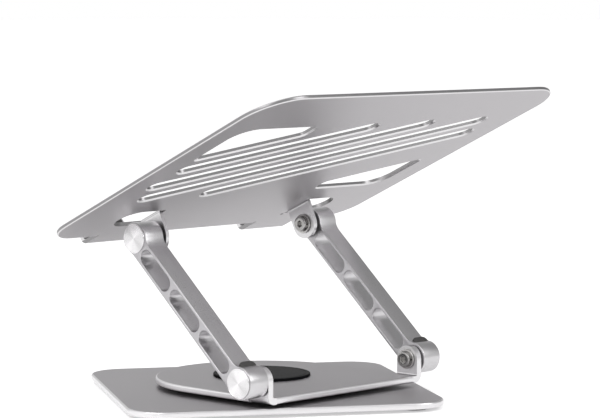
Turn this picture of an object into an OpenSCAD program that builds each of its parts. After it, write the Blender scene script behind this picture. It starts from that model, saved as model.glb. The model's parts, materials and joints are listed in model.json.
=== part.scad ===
// Swivelling, folding laptop stand. Millimetres. Own frame: +Z up, origin on the
// desk under the swivel axis, +X to the user's right, +Y to the rear (away from the user).

/* [Base] */
// Half width of the base plate
base_hu = 96.5; // [80:0.5:120]
// Half depth of the base plate
base_hv = 92.5; // [80:0.5:120]
// Base plate thickness
base_t = 4; // [3:0.5:8]
// Base corner radius
base_r = 22; // [8:1:40]
// Rounding of the base plate's long edges
base_edge = 1.3; // [0.4:0.1:1.9]
// Turn of the base about the swivel axis at rest
base_turn = -33; // [-180:1:180]
// Height of the rubber feet
foot_h = 2; // [1:0.5:5]
// Radius of a corner foot
foot_r = 9; // [5:0.5:15]
// Radius of the centre pad under the base
centre_pad_r = 28; // [20:1:40]

/* [Swivel] */
// Gap between base plate and turntable plate
swivel_gap = 2.4; // [1.5:0.1:6]
// Radius of the pivot stud
stud_r = 6; // [4:0.5:10]
// Radius of the black hub cover
cover_r = 30.3; // [24:0.1:40]
// Height of the hub cover above the turntable
cover_h = 1.6; // [1:0.1:4]
// Outer radius of the glide ring
glide_r = 52; // [40:1:60]

/* [Turntable] */
// Radius of the turntable's round front
turn_r = 66; // [60:0.5:80]
// Turntable plate thickness
turn_t = 4; // [3:0.5:6]
// Width of each ear along the plate's side
turn_ear_w = 16.6; // [14:0.2:22]
// Rounding of the plate's edges
turn_edge = 1.2; // [0.4:0.1:1.9]

/* [Hinge line] */
// Distance of the lower hinge axis behind the swivel axis
low_y = 64.4; // [50:0.2:80]
// Height of the lower hinge axis
low_z = 22.4; // [20:0.1:40]
// Centre distance of the arm's two hinges
arm_len = 119.5; // [100:0.5:150]
// Angle of the arms above the horizontal at rest
arm_angle = 41.5; // [0:0.5:90]
// Inner face of the ears, from the centre plane
ear_in = 63.5; // [55:0.5:75]
// Running clearance on every turning pin
fit = 0.05; // [0.01:0.01:0.1]
// Gap between faces that slide past each other
slide = 0.3; // [0.2:0.05:0.5]

/* [Arms] */
// Inner face of the arms, from the centre plane
arm_in = 68.7; // [66:0.1:80]
// Outer face of the arms, from the centre plane
arm_out = 83.5; // [75:0.1:95]
// Radius of the round hubs at both ends
hub_r = 9.8; // [8:0.1:14]
// Upper edge of the bar above the hinge line
bar_hi = 5.2; // [3:0.1:9]
// Lower edge of the bar below the hinge line
bar_lo = 8.6; // [3:0.1:9.5]
// Radius of the fillets between bar and hubs
fillet_r = 10; // [4:1:20]
// Height of the rubber stop on the arm's shoulder
pad_h = 2.7; // [2:0.1:5]
// Length of each of the three oblong slots
slot_l = 31; // [20:1:34]
// Pitch of the slots
slot_pitch = 33.6; // [30:0.2:38]
// Half width of the slots
slot_r = 5; // [3:0.1:6]

/* [Tray] */
// Half width of the tray
tray_hw = 129.5; // [100:1:160]
// Front edge in front of the upper hinge
tray_front = 28; // [20:1:50]
// Rear edge behind the upper hinge
tray_rear = 185.5; // [150:0.5:230]
// Tray sheet thickness
tray_t = 2.6; // [2:0.1:5]
// Underside of the tray above the upper hinge axis
tray_lift = 12.35; // [11:0.05:20]
// Tilt of the tray at rest
tray_tilt = 24.75; // [0:0.25:45]
// Front corner radius
tray_rf = 22; // [5:1:40]
// Rear corner radius
tray_rr = 28; // [5:1:40]
// Rounding of the tray's edges
tray_edge = 0.9; // [0.3:0.1:1.5]
// Radius of the tray's ears round the hinge
tray_ear_r = 9.5; // [8:0.1:12]
// Half width of the windows beside the ears
window_hw = 12; // [10:0.5:16]
// Outer end of the windows, from the centre plane
window_x = 92; // [85:1:100]

/* [Vents] */
// Half width of the four long vents
vent_r = 6.6; // [3:0.1:8]
// Width of the bevel round the vents
vent_bevel = 0.9; // [0.2:0.1:1.5]
// Turn of the vents from the tray's width
vent_turn = -27.7; // [-60:0.1:0]
// Distance of the rearmost vent from the hinge, square to the vents
vent_row = 121.3; // [80:0.1:140]
// Pitch of the four long vents
vent_pitch = 21.45; // [16:0.1:30]

/* [Hooks] */
// Inner side of each hook, from the centre plane
hook_in = 49; // [30:1:70]
// Outer side of each hook, from the centre plane
hook_out = 86; // [60:1:110]
// Reach of the hooks in front of the upper hinge
hook_reach = 43.5; // [36:0.5:55]
// Height of the hooks above the tray's underside
hook_h = 17; // [10:1:30]

/* [Hidden] */
$fn = 96;
low_ang = 90 - arm_angle;
turn_rear = low_y + turn_ear_w / 2;
up_y = low_y - arm_len * cos(arm_angle);
up_z = low_z + arm_len * sin(arm_angle);
base_z = foot_h;
base_top = foot_h + base_t;
turn_z = base_top + swivel_gap;
turn_top = turn_z + turn_t;
ear_out = ear_in + turn_t;
tray_ear_out = ear_in + tray_t;
// Straight sides start this far inside their round corners, so that the two cross cleanly
inset = 0.004;
alu = [0.72, 0.71, 0.72];
alu_cut = [0.85, 0.85, 0.86];
steel = [0.55, 0.56, 0.58];
dark_steel = [0.2, 0.2, 0.21];
bronze = [0.62, 0.48, 0.25];
black = [0.05, 0.05, 0.055];
rubber = [0.12, 0.12, 0.13];
nylon = [0.18, 0.18, 0.19];

// Puts a piece drawn in the arm's own plane (x along the arm, y to its upper side)
// in place; z runs from the right to the left of the stand.
module at_arm() {
  translate([0, low_y, low_z]) rotate([low_ang, 0, 0]) rotate([0, -90, 0]) children();
}
// Puts a piece drawn in the tray's frame (x width, y depth from the hinge, z normal) in place.
module at_tray() {
  translate([0, up_y, up_z]) rotate([tray_tilt, 0, 0]) children();
}
// Along the right-hand side's hinge axis, drawn with z along +X.
module on_low_axis() { translate([0, low_y, low_z]) rotate([0, 90, 0]) children(); }
module on_up_axis() { translate([0, up_y, up_z]) rotate([0, 90, 0]) children(); }
module left() { mirror([1, 0, 0]) children(); }
module tube(ro, ri, z0, z1) {
  translate([0, 0, z0]) difference() {
    cylinder(r = ro, h = z1 - z0);
    translate([0, 0, -1]) cylinder(r = ri, h = z1 - z0 + 2);
  }
}
// Edge profile: a slab from -w to w wide and t thick with rounded edges of radius e.
module slab_profile(w, t, e) {
  translate([-w, e]) square([2 * w, t - 2 * e]);
  translate([-w + e, 0]) square([2 * w - 2 * e, t]);
  for (s = [-1, 1], h = [e, t - e]) translate([s * (w - e), h]) circle(r = e, $fn = 24);
}
// Round corner of such a slab.
module slab_corner(r, t, e) {
  rotate_extrude() intersection() {
    slab_profile(r, t, e);
    square([r + 1, t]);
  }
}
// Strip of the slab running along Y from y0 to y1, rounded on both X sides.
module strip_y(w, t, e, y0, y1) {
  translate([0, y1, 0]) rotate([90, 0, 0]) linear_extrude(height = y1 - y0) slab_profile(w, t, e);
}
// Strip running along X from -w to w, rounded on the side at y1; y0 lies inside the plate.
module strip_x(w, t, e, y0, y1) {
  m = abs(y1 - y0);
  s = y1 > y0 ? 1 : -1;
  translate([-w, y0, 0]) rotate([90, 0, 90]) linear_extrude(height = 2 * w) intersection() {
    slab_profile(m, t, e);
    translate([s > 0 ? 0 : -m - 1, -1]) square([m + 1, t + 2]);
  }
}
module oblong(l, r) {
  translate([-l / 2 + r, -r]) square([l - 2 * r, 2 * r]);
  for (s = [-1, 1]) translate([s * (l / 2 - r), 0]) circle(r = r);
}

// ---- base ----
module base_plate() color(alu) rotate([0, 0, base_turn]) difference() {
  translate([0, 0, base_z]) union() {
    strip_y(base_hu, base_t, base_edge, -base_hv + base_r, base_hv - base_r);
    strip_x(base_hu - base_r, base_t, base_edge, 0, base_hv);
    strip_x(base_hu - base_r, base_t, base_edge, 0, -base_hv);
    for (sx = [-1, 1], sy = [-1, 1]) translate([sx * (base_hu - base_r), sy * (base_hv - base_r), 0])
      slab_corner(base_r, base_t, base_edge);
  }
  cylinder(r = stud_r + 0.02, h = 20);
  translate([0, 0, base_z - 1]) cylinder(r = 16.05, h = 2.65);
  for (a = [0, 120, 240]) rotate([0, 0, a]) translate([11, 0, base_z]) cylinder(r = 1.55, h = 3.5, $fn = 32);
}
module base_corner_feet() color(rubber) rotate([0, 0, base_turn])
  for (sx = [-1, 1], sy = [-1, 1]) translate([sx * (base_hu - 19), sy * (base_hv - 19), 0]) {
    cylinder(r1 = foot_r - 0.6, r2 = foot_r, h = 0.6);
    translate([0, 0, 0.6]) cylinder(r = foot_r, h = foot_h - 0.6);
  }
module base_centre_pad() color(rubber) {
  cylinder(r1 = centre_pad_r - 0.6, r2 = centre_pad_r, h = 0.6);
  translate([0, 0, 0.6]) cylinder(r = centre_pad_r, h = foot_h - 0.6);
}

// ---- swivel ----
module pivot_stud() color(steel) rotate([0, 0, base_turn]) difference() {
  union() {
    translate([0, 0, base_z]) cylinder(r = 16, h = 1.6);
    translate([0, 0, base_z]) cylinder(r = stud_r, h = turn_top + 0.5 - base_z);
  }
  for (a = [0, 120, 240]) rotate([0, 0, a]) translate([11, 0, base_z - 1]) {
    cylinder(r = 1.55, h = 5, $fn = 32);
    cylinder(r = 2.8, h = 1.95, $fn = 32);
  }
}
module pivot_screws() color(dark_steel) rotate([0, 0, base_turn])
  for (a = [0, 120, 240]) rotate([0, 0, a]) translate([11, 0, base_z]) difference() {
    union() {
      translate([0, 0, 0.05]) cylinder(r = 2.7, h = 0.85, $fn = 32);
      translate([0, 0, 0.05]) cylinder(r = 1.5, h = 3.3, $fn = 32);
    }
    translate([0, 0, -0.5]) cylinder(r = 1, h = 1.1, $fn = 6);
  }
module glide_ring() color(nylon) difference() {
  tube(glide_r, 36, base_top, base_top + swivel_gap - slide);
  for (a = [0 : 45 : 315]) rotate([0, 0, a]) translate([30, -1, base_top + 1.2]) cube([30, 2, 3]);
}
module swivel_bush() color(bronze) {
  tube(10, stud_r + fit, turn_z, turn_z + 1.5);
  tube(14, stud_r + fit, turn_z + 1.5, turn_z + 1.8);
}
module swivel_wave_washer() color(steel) tube(12, stud_r + 0.1, turn_z + 2.1, turn_z + 2.75);
module swivel_nut() color(steel) difference() {
  translate([0, 0, turn_z + 2.8]) cylinder(r = 10, h = 1.7, $fn = 6);
  translate([0, 0, turn_z]) cylinder(r = stud_r + 0.03, h = 10);
}
module hub_cover() color(black) difference() {
  union() {
    translate([0, 0, turn_top]) rotate_extrude() intersection() {
      union() {
        square([cover_r - 0.8, cover_h]);
        square([cover_r, cover_h - 0.8]);
        translate([cover_r - 0.8, cover_h - 0.8]) circle(r = 0.8, $fn = 40);
      }
      square([60, 10]);
    }
    translate([0, 0, turn_top - 1.4]) cylinder(r = 21.9, h = 1.5);
  }
  translate([0, 0, turn_top - 3]) cylinder(r = 20, h = 3.7);
}

// ---- turntable ----
module turn_ear() {
  y0 = turn_rear - turn_ear_w;
  // bend
  intersection() {
    translate([ear_in - 1, turn_rear, turn_top + 1]) rotate([90, 0, 0]) difference() {
      cylinder(r = turn_t + 1, h = turn_ear_w);
      translate([0, 0, -1]) cylinder(r = 1, h = turn_ear_w + 2);
    }
    translate([ear_in - 1, y0, turn_z]) cube([turn_t + 1, turn_ear_w, turn_t + 1]);
  }
  // upright with its round top
  translate([ear_in, 0, 0]) rotate([90, 0, 90]) linear_extrude(height = turn_t) {
    translate([y0, turn_top + 1]) square([turn_ear_w, low_z - turn_top - 1]);
    translate([turn_rear - turn_ear_w / 2, low_z]) circle(r = turn_ear_w / 2);
  }
}
module turntable_plate() color(alu) difference() {
  union() {
    difference() {
      translate([0, 0, turn_z]) union() {
        slab_corner(turn_r, turn_t, turn_edge);
        strip_y(turn_r, turn_t, turn_edge, 0, turn_rear - turn_ear_w - 1.5);
        strip_x(ear_in - 2, turn_t, turn_edge, 0, turn_rear);
      }
      // relief at the foot of each ear
      for (s = [-1, 1]) translate([s * (ear_in + 5.5) - 6.5, turn_rear - turn_ear_w - 1.5, 0]) cube([13, 30, 60]);
    }
    for (s = [0, 1]) mirror([s, 0, 0]) {
      translate([ear_in - 3, turn_rear - turn_ear_w, turn_z]) cube([2, turn_ear_w, turn_t]);
      turn_ear();
    }
  }
  translate([0, 0, turn_z - 1]) cylinder(r = 10.05, h = 20);
  translate([0, 0, turn_z + 1.5]) cylinder(r = 22, h = 20);
  translate([-80, low_y, low_z]) rotate([0, 90, 0]) cylinder(r = 3 + fit, h = 160);
}

// ---- arms ----
// Web between hub and bar on one side: e is the bar's edge on that side.
module arm_web(e) {
  q = hub_r + fillet_r - 0.02;
  f = sqrt(pow(q, 2) - pow(e + fillet_r, 2));
  difference() {
    polygon([[0, 0], [f + 1, 0], [f + 1, e], [f, e], [f * hub_r / q, (e + fillet_r) * hub_r / q]]);
    translate([f, e + fillet_r]) circle(r = fillet_r);
  }
}
module arm_profile() difference() {
  union() {
    translate([0, -bar_lo]) square([arm_len, bar_lo + bar_hi]);
    for (m = [0, 1]) translate([m * arm_len, 0]) mirror([m, 0]) {
      circle(r = hub_r);
      arm_web(bar_hi);
      mirror([0, 1]) arm_web(bar_lo);
    }
  }
  for (k = [-1, 0, 1]) translate([arm_len / 2 + 0.6 + k * slot_pitch, -1.6]) oblong(slot_l, slot_r);
}
module right_arm() color(alu) difference() {
  at_arm() translate([0, 0, -arm_out]) linear_extrude(height = arm_out - arm_in) arm_profile();
  on_low_axis() arm_hub_bore();
  on_up_axis() arm_hub_bore();
  at_arm() translate([6.4, 5.6, -(arm_in + arm_out) / 2]) rotate([-90, 0, 0]) linear_extrude(height = 10) pad_outline(0.03);
}
module arm_hub_bore() {
  translate([0, 0, arm_in - 1]) cylinder(r = 5 + fit, h = arm_out - arm_in);
  translate([0, 0, arm_out - 2]) cylinder(r = 6.05, h = 4);
}
module left_arm() left() right_arm();
module pad_outline(g) {
  for (s = [-1, 1]) translate([0, s * 2.9]) circle(r = 3.1 + g, $fn = 64);
  translate([-3.1 - g, -2.9]) square([6.2 + 2 * g, 5.8]);
}
module right_arm_pad() color(rubber) at_arm() translate([6.4, 5.6, -(arm_in + arm_out) / 2])
  rotate([-90, 0, 0]) linear_extrude(height = pad_h) pad_outline(0);
module left_arm_pad() left() right_arm_pad();

// ---- hinge hardware, right side; the left side is its mirror image ----
module bush() tube(5, 3 + fit, arm_in + 0.3, 76.7);
module right_lower_bush() color(bronze) on_low_axis() bush();
module right_upper_bush() color(bronze) on_up_axis() bush();
module left_lower_bush() left() right_lower_bush();
module left_upper_bush() left() right_upper_bush();
module hex_screw() difference() {
  union() {
    translate([0, 0, ear_in - 4]) cylinder(r1 = 4.1, r2 = 4.8, h = 0.7);
    translate([0, 0, ear_in - 3.3]) cylinder(r = 4.8, h = 0.95);
    translate([0, 0, ear_in - 2.4]) cylinder(r = 3, h = 19.6);
  }
  translate([0, 0, ear_in - 5]) cylinder(r = 2.3, h = 2.4, $fn = 6);
}
module right_lower_screw() color(dark_steel) on_low_axis() hex_screw();
module right_upper_screw() color(dark_steel) on_up_axis() hex_screw();
module left_lower_screw() left() right_lower_screw();
module left_upper_screw() left() right_upper_screw();
module flat_washer() tube(6.2, 3 + fit, ear_in - slide - 1, ear_in - slide);
module spring_washer() difference() {
  tube(5.2, 3 + fit, ear_in - slide - 2, ear_in - slide - 1.05);
  translate([-0.4, 0, ear_in - 3]) cube([0.8, 6, 3]);
}
module right_flat_washers() color(steel) { on_low_axis() flat_washer(); on_up_axis() flat_washer(); }
module left_flat_washers() left() right_flat_washers();
module right_spring_washers() color(steel) { on_low_axis() spring_washer(); on_up_axis() spring_washer(); }
module left_spring_washers() left() right_spring_washers();
module right_friction_washers() color(nylon) {
  on_low_axis() tube(7.6, 3 + fit, ear_out + slide, arm_in - 0.05);
  on_up_axis() tube(7.6, 3 + fit, tray_ear_out + slide, arm_in - 0.05);
}
module left_friction_washers() left() right_friction_washers();
module barrel_nut() difference() {
  translate([0, 0, 77]) cylinder(r = 5, h = 4.3);
  translate([0, 0, 70]) cylinder(r = 3 + 0.03, h = 11);
}
module right_barrel_nuts() color(steel) { on_low_axis() barrel_nut(); on_up_axis() barrel_nut(); }
module left_barrel_nuts() left() right_barrel_nuts();
module spun_cap() {
  translate([0, 0, arm_out - 1.9]) cylinder(r = 6, h = 2);
  translate([0, 0, arm_out]) cylinder(r = 9, h = 0.7);
  translate([0, 0, arm_out + 0.7]) cylinder(r1 = 9, r2 = 8.6, h = 0.3);
}
module right_lower_cap() color(alu_cut) on_low_axis() spun_cap();
module right_upper_cap() color(alu_cut) on_up_axis() spun_cap();
module left_lower_cap() left() right_lower_cap();
module left_upper_cap() left() right_upper_cap();

// ---- tray ----
// Outline through round corners, given counter-clockwise as [x, y, radius].
function turn_at(a, b) = let (d = [b[0] - a[0], b[1] - a[1]], p = atan2(d[1], d[0]) - acos((a[2] - b[2]) / norm(d))) [cos(p), sin(p)];
module outline(c) {
  n = len(c);
  for (p = c) translate([p[0], p[1]]) circle(r = p[2]);
  polygon([for (i = [0 : n - 1]) let (a = c[i], b = c[(i + 1) % n], t = turn_at(a, b))
    each [[a[0] + (a[2] - inset) * t[0], a[1] + (a[2] - inset) * t[1]], [b[0] + (b[2] - inset) * t[0], b[1] + (b[2] - inset) * t[1]]]]);
}
// Opening with that outline through the sheet, bevelled on the underside.
module opening(c) {
  n = len(c);
  w = vent_bevel;
  translate([0, 0, tray_lift - 1]) linear_extrude(height = tray_t + 2) outline(c);
  for (p = c) translate([p[0], p[1], tray_lift - 0.01]) cylinder(r1 = p[2] + w + 0.01, r2 = p[2], h = w + 0.01);
  for (i = [0 : n - 1]) {
    a = c[i];
    b = c[(i + 1) % n];
    t = turn_at(a, b);
    q = [a[0] + (a[2] - inset) * t[0], a[1] + (a[2] - inset) * t[1]];
    l = norm([b[0] + (b[2] - inset) * t[0], b[1] + (b[2] - inset) * t[1]] - q);
    translate([q[0], q[1], tray_lift]) rotate([0, 0, atan2(t[0], -t[1])]) rotate([90, 0, 90]) linear_extrude(height = l)
      polygon([[1, -0.01], [-w - 0.01, -0.01], [0, w], [1, w]]);
  }
}
// Vent k of the four, between s0 and s1 along its own direction.
module vent(k, s0, s1) rotate([0, 0, vent_turn]) opening([
  [s0 + vent_r, vent_row - k * vent_pitch, vent_r], [s1 - vent_r, vent_row - k * vent_pitch, vent_r]]);
module vents() {
  vent(0, -66.4, 60.8);
  vent(1, -109.9, 74.9);
  vent(2, -153.2, 75.8);
  vent(3, -151.4, 31.4);
  opening([[109.6, 99.3, 3], [98.6, 127.2, 14], [55.9, 136.1, 5], [55.9, 130.3, 5]]);
  opening([[-105.1, 70.4, 3], [-94.1, 45.9, 14], [-52.9, 36.9, 5], [-52.9, 40.1, 5]]);
}
module hook() {
  w = hook_out - hook_in;
  ro = tray_t + 2;
  translate([hook_in, 0, tray_lift]) {
    translate([0, -hook_reach + ro, 0]) cube([w, hook_reach - ro - tray_front + 2, tray_t]);
    intersection() {
      translate([0, -hook_reach + ro, ro]) rotate([0, 90, 0]) difference() {
        cylinder(r = ro, h = w);
        translate([0, 0, -1]) cylinder(r = 2, h = w + 2);
      }
      translate([0, -hook_reach, 0]) cube([w, ro, ro]);
    }
    translate([0, -hook_reach + tray_t, ro]) rotate([90, 0, 0]) linear_extrude(height = tray_t) {
      square([w, hook_h - ro - 6]);
      translate([6, 0]) square([w - 12, hook_h - ro]);
      for (x = [6, w - 6]) translate([x, hook_h - ro - 6]) circle(r = 6);
    }
  }
}
module tray_ear() {
  rb = tray_t + 1;
  intersection() {
    translate([ear_in - 1, tray_ear_r, tray_lift - 1]) rotate([90, 0, 0]) difference() {
      cylinder(r = rb, h = 2 * tray_ear_r);
      translate([0, 0, -1]) cylinder(r = 1, h = 2 * tray_ear_r + 2);
    }
    translate([ear_in - 1, -tray_ear_r, tray_lift - 1]) cube([rb, 2 * tray_ear_r, rb]);
  }
  translate([ear_in, 0, 0]) rotate([90, 0, 90]) linear_extrude(height = tray_t) {
    translate([-tray_ear_r, 0]) square([2 * tray_ear_r, tray_lift - 1]);
    circle(r = tray_ear_r);
  }
  translate([ear_in - 3, -tray_ear_r, tray_lift]) cube([2.2, 2 * tray_ear_r, tray_t]);
}
module tray_plate() color(alu) at_tray() difference() {
  $fn = 80;
  union() {
    difference() {
      translate([0, 0, tray_lift]) union() {
        strip_y(tray_hw, tray_t, tray_edge, -tray_front + tray_rf, tray_rear - tray_rr);
        strip_x(tray_hw - tray_rf, tray_t, tray_edge, 40, -tray_front);
        strip_x(tray_hw - tray_rr, tray_t, tray_edge, 40, tray_rear);
        for (s = [-1, 1]) {
          translate([s * (tray_hw - tray_rf), -tray_front + tray_rf, 0]) slab_corner(tray_rf, tray_t, tray_edge);
          translate([s * (tray_hw - tray_rr), tray_rear - tray_rr, 0]) slab_corner(tray_rr, tray_t, tray_edge);
        }
      }
      // windows left by the ears
      for (s = [-1, 1]) translate([0, 0, tray_lift - 1]) linear_extrude(height = tray_t + 2) {
        translate([s * (window_x - window_hw), 0]) circle(r = window_hw);
        translate([s > 0 ? ear_in - 1 : -window_x + window_hw, -window_hw]) square([window_x - window_hw - ear_in + 1, 2 * window_hw]);
      }
      // relief beside each hook
      for (s = [-1, 1], x = [hook_in - 2, hook_out]) translate([s * (x + 1) - 1, -tray_front - 1, tray_lift - 1]) cube([2, 3.5, tray_t + 2]);
      vents();
    }
    for (s = [0, 1]) mirror([s, 0, 0]) { tray_ear(); hook(); }
  }
  translate([-80, 0, 0]) rotate([0, 90, 0]) cylinder(r = 3 + fit, h = 160);
  translate([-61.6, -14, tray_lift - 1]) cylinder(r = 1, h = tray_t + 2, $fn = 24);
}
module sheet_pad(x0, x1, y0, y1, h) {
  translate([x0, y0, tray_lift + tray_t]) linear_extrude(height = h) {
    translate([3, 0]) square([x1 - x0 - 6, y1 - y0]);
    translate([0, 3]) square([x1 - x0, y1 - y0 - 6]);
    for (x = [3, x1 - x0 - 3], y = [3, y1 - y0 - 3]) translate([x, y]) circle(r = 3, $fn = 48);
  }
}
module tray_front_pad() color(rubber) at_tray() sheet_pad(-56, 56, -21, -5, 0.7);
module tray_rear_pad() color(rubber) at_tray() sheet_pad(-100, 100, 152, 172, 0.7);
module tray_side_pads() color(rubber) at_tray() { sheet_pad(116, 124, 22, 148, 0.7); sheet_pad(-124, -116, 22, 148, 0.7); }
module right_hook_pad() color(rubber) at_tray()
  translate([hook_in + 2, -hook_reach + tray_t + 1.4, tray_lift + tray_t + 2.2]) rotate([90, 0, 0]) linear_extrude(height = 1.4) {
    translate([3, 0]) square([hook_out - hook_in - 10, hook_h - tray_t - 4.2]);
    translate([0, 3]) square([hook_out - hook_in - 4, hook_h - tray_t - 10.2]);
    for (x = [3, hook_out - hook_in - 7], y = [3, hook_h - tray_t - 7.2]) translate([x, y]) circle(r = 3, $fn = 48);
  }
module left_hook_pad() left() right_hook_pad();

base_plate();
base_corner_feet();
base_centre_pad();
pivot_stud();
pivot_screws();
glide_ring();
turntable_plate();
swivel_bush();
swivel_wave_washer();
swivel_nut();
hub_cover();
right_arm();
left_arm();
right_arm_pad();
left_arm_pad();
right_lower_bush();
right_upper_bush();
left_lower_bush();
left_upper_bush();
right_lower_screw();
right_upper_screw();
left_lower_screw();
left_upper_screw();
right_flat_washers();
left_flat_washers();
right_spring_washers();
left_spring_washers();
right_friction_washers();
left_friction_washers();
right_barrel_nuts();
left_barrel_nuts();
right_lower_cap();
right_upper_cap();
left_lower_cap();
left_upper_cap();
tray_plate();
tray_front_pad();
tray_rear_pad();
tray_side_pads();
right_hook_pad();
left_hook_pad();
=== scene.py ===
"""Looks for a folding laptop stand, built around its packed CAD frame.

Sizes are in millimetres until they are placed; the frame is in metres, +Z up,
+X to the user's right, +Y to the rear, origin on the desk under the swivel axis.
"""

import json
from math import atan2, cos, hypot, pi, radians, sin, sqrt

import bmesh
import bpy
from mathutils import Matrix, Vector


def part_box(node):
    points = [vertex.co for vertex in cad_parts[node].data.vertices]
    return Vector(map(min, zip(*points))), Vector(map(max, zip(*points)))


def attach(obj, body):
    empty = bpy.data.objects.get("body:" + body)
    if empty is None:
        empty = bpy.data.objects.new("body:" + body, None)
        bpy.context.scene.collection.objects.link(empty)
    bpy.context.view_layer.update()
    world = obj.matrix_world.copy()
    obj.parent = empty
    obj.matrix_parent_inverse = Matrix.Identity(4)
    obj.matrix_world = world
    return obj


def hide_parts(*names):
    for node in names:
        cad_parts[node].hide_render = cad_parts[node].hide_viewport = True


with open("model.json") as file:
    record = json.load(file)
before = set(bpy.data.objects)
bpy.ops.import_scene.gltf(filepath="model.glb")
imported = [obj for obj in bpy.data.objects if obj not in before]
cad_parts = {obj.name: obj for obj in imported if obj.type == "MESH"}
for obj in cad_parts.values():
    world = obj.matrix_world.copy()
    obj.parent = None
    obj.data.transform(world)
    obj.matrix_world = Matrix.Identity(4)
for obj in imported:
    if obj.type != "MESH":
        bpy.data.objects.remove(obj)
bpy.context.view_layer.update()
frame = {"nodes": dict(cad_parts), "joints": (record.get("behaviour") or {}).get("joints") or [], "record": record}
record = frame["record"]
nodes = frame["nodes"]

bl_info = {
    "name": "Folding laptop stand",
    "version": (1, 0, 0),
    "blender": (4, 5, 0),
    "location": "View3D > Sidebar > Stand",
    "description": "Builds the visible pieces, finishes and stage of a folding laptop stand",
    "category": "Object",
}

MM = 0.001
SIDES = {"right": 1, "left": -1}
LEVELS = ("lower", "upper")
JOINTS = {j["name"]: j for j in frame["joints"]}
LOW_AXIS = Vector(JOINTS["arm_fold"]["pos_m"]) / MM
UP_AXIS = Vector(JOINTS["tray_tilt"]["pos_m"]) / MM
ARM_LENGTH = (UP_AXIS - LOW_AXIS).length
ARM_RISE = atan2(UP_AXIS.z - LOW_AXIS.z, LOW_AXIS.y - UP_AXIS.y)
TRAY_TILT = radians(24.75)
AXES = {"lower": LOW_AXIS, "upper": UP_AXIS}

# Tray sheet, along its own normal from the upper hinge line, and what stands on it.
SHEET = 2.6
TRAY_LOW = 12.35
TRAY_TOP = TRAY_LOW + SHEET
TRAY_PAD_HEIGHT = 0.7
HOOK_REACH = 43.5
HOOK_FACE = -HOOK_REACH + SHEET
HOOK_LOW = TRAY_TOP + 2.2
HOOK_PAD_START = 51
HOOK_PAD_SIZE = (33, 10.2, 1.4)
TRAY_PADS = {
    "tray_front_pad": [(-56, 56, -21, -5)],
    "tray_rear_pad": [(-100, 100, 152, 172)],
    "tray_side_pads": [(116, 124, 22, 148), (-124, -116, 22, 148)],
}

# Rubber stop on an arm: place along and above the hinge line, length, end radius and height.
STOP_PLACE = (6.4, 5.6)
STOP_LENGTH = 12.0
STOP_RADIUS = 3.1
STOP_HEIGHT = 2.7
STOP_EDGE = 0.5

# Where the washers lie along a hinge axis, measured from the centre plane.
WASHER_BORE = 3.05
FLAT_WASHER = (6.2, 62.2, 63.2, 0.22)
LOCK_WASHER_START = 61.2
FRICTION_RADIUS = 7.6
FRICTION_START = {"lower": 67.8, "upper": 66.4}
FRICTION_END = 68.65

# Soft patches of the sky: direction, where each starts and peaks, and how much it adds.
SKY_PATCHES = (
    ((-0.716, 0.0, 0.698), 0.70, 1.0, -0.42),
    ((0.716, -0.693, 0.0), 0.55, 1.0, 0.45),
)
FLOOR_GLOW_SEEN = 0.42
FLOOR_GLOW_MIRRORED = 0.22
CAMERA_PLACE = (1.1207, 1.1175, 0.2421)
CAMERA_AIM = (-0.7164, -0.6932, -0.0794)


# ---------------------------------------------------------------- settings


def length_prop(name, text, value, low, high):
    """A length in millimetres."""
    return bpy.props.FloatProperty(
        name=name, description=text, default=value, min=low, max=high, precision=2
    )


def colour_prop(name, text, value):
    return bpy.props.FloatVectorProperty(
        name=name, description=text, default=value, size=3, min=0, max=1, subtype="COLOR"
    )


def share_prop(name, text, value):
    return bpy.props.FloatProperty(
        name=name, description=text, default=value, min=0, max=1, subtype="FACTOR"
    )


class StandArmSettings(bpy.types.PropertyGroup):
    """Sizes of the two slotted arms."""

    hub_radius: length_prop("Hub radius", "Radius of the round hubs at both ends, mm", 9.8, 8, 14)
    bar_upper: length_prop("Bar upper edge", "Upper edge of the bar above the hinge line, mm", 5.2, 3, 9)
    bar_lower: length_prop("Bar lower edge", "Lower edge of the bar below the hinge line, mm", 8.6, 3, 9.5)
    fillet: length_prop("Fillet", "Radius between bar and hubs, mm", 10.0, 4, 20)
    slot_length: length_prop("Slot length", "Length of each oblong slot, mm", 31.0, 20, 34)
    slot_radius: length_prop("Slot radius", "Half width of the slots, mm", 5.0, 3, 6)
    slot_pitch: length_prop("Slot pitch", "Distance between slot centres, mm", 33.6, 30, 38)
    edge: length_prop("Edge rounding", "Rounding of the arm's edges, mm", 0.45, 0.1, 1)


class StandHardwareSettings(bpy.types.PropertyGroup):
    """Sizes of the hinge screws, washers and caps."""

    head_radius: length_prop("Screw head radius", "Radius of the socket heads, mm", 4.8, 3, 6)
    socket_half: length_prop("Socket half width", "Half the width across the socket's flats, mm", 2.0, 1, 3)
    shank_radius: length_prop("Shank radius", "Radius of the screw shank, mm", 3.0, 2, 4)
    thread_pitch: length_prop("Thread pitch", "Pitch of the screw thread, mm", 1.0, 0.5, 1.5)
    cap_radius: length_prop("Cap radius", "Radius of the turned caps, mm", 9.0, 7, 9.6)


class StandPadSettings(bpy.types.PropertyGroup):
    """Sizes of the rubber pads and feet."""

    rib_pitch: length_prop("Rib pitch", "Distance between the ribs of the tray's pads, mm", 3.2, 1, 8)
    rib_height: length_prop("Rib height", "Height of the ribs, mm", 0.25, 0, 0.4)
    edge: length_prop("Pad edge", "Rounding of the pads' edges, mm", 0.4, 0.1, 1)


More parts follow.
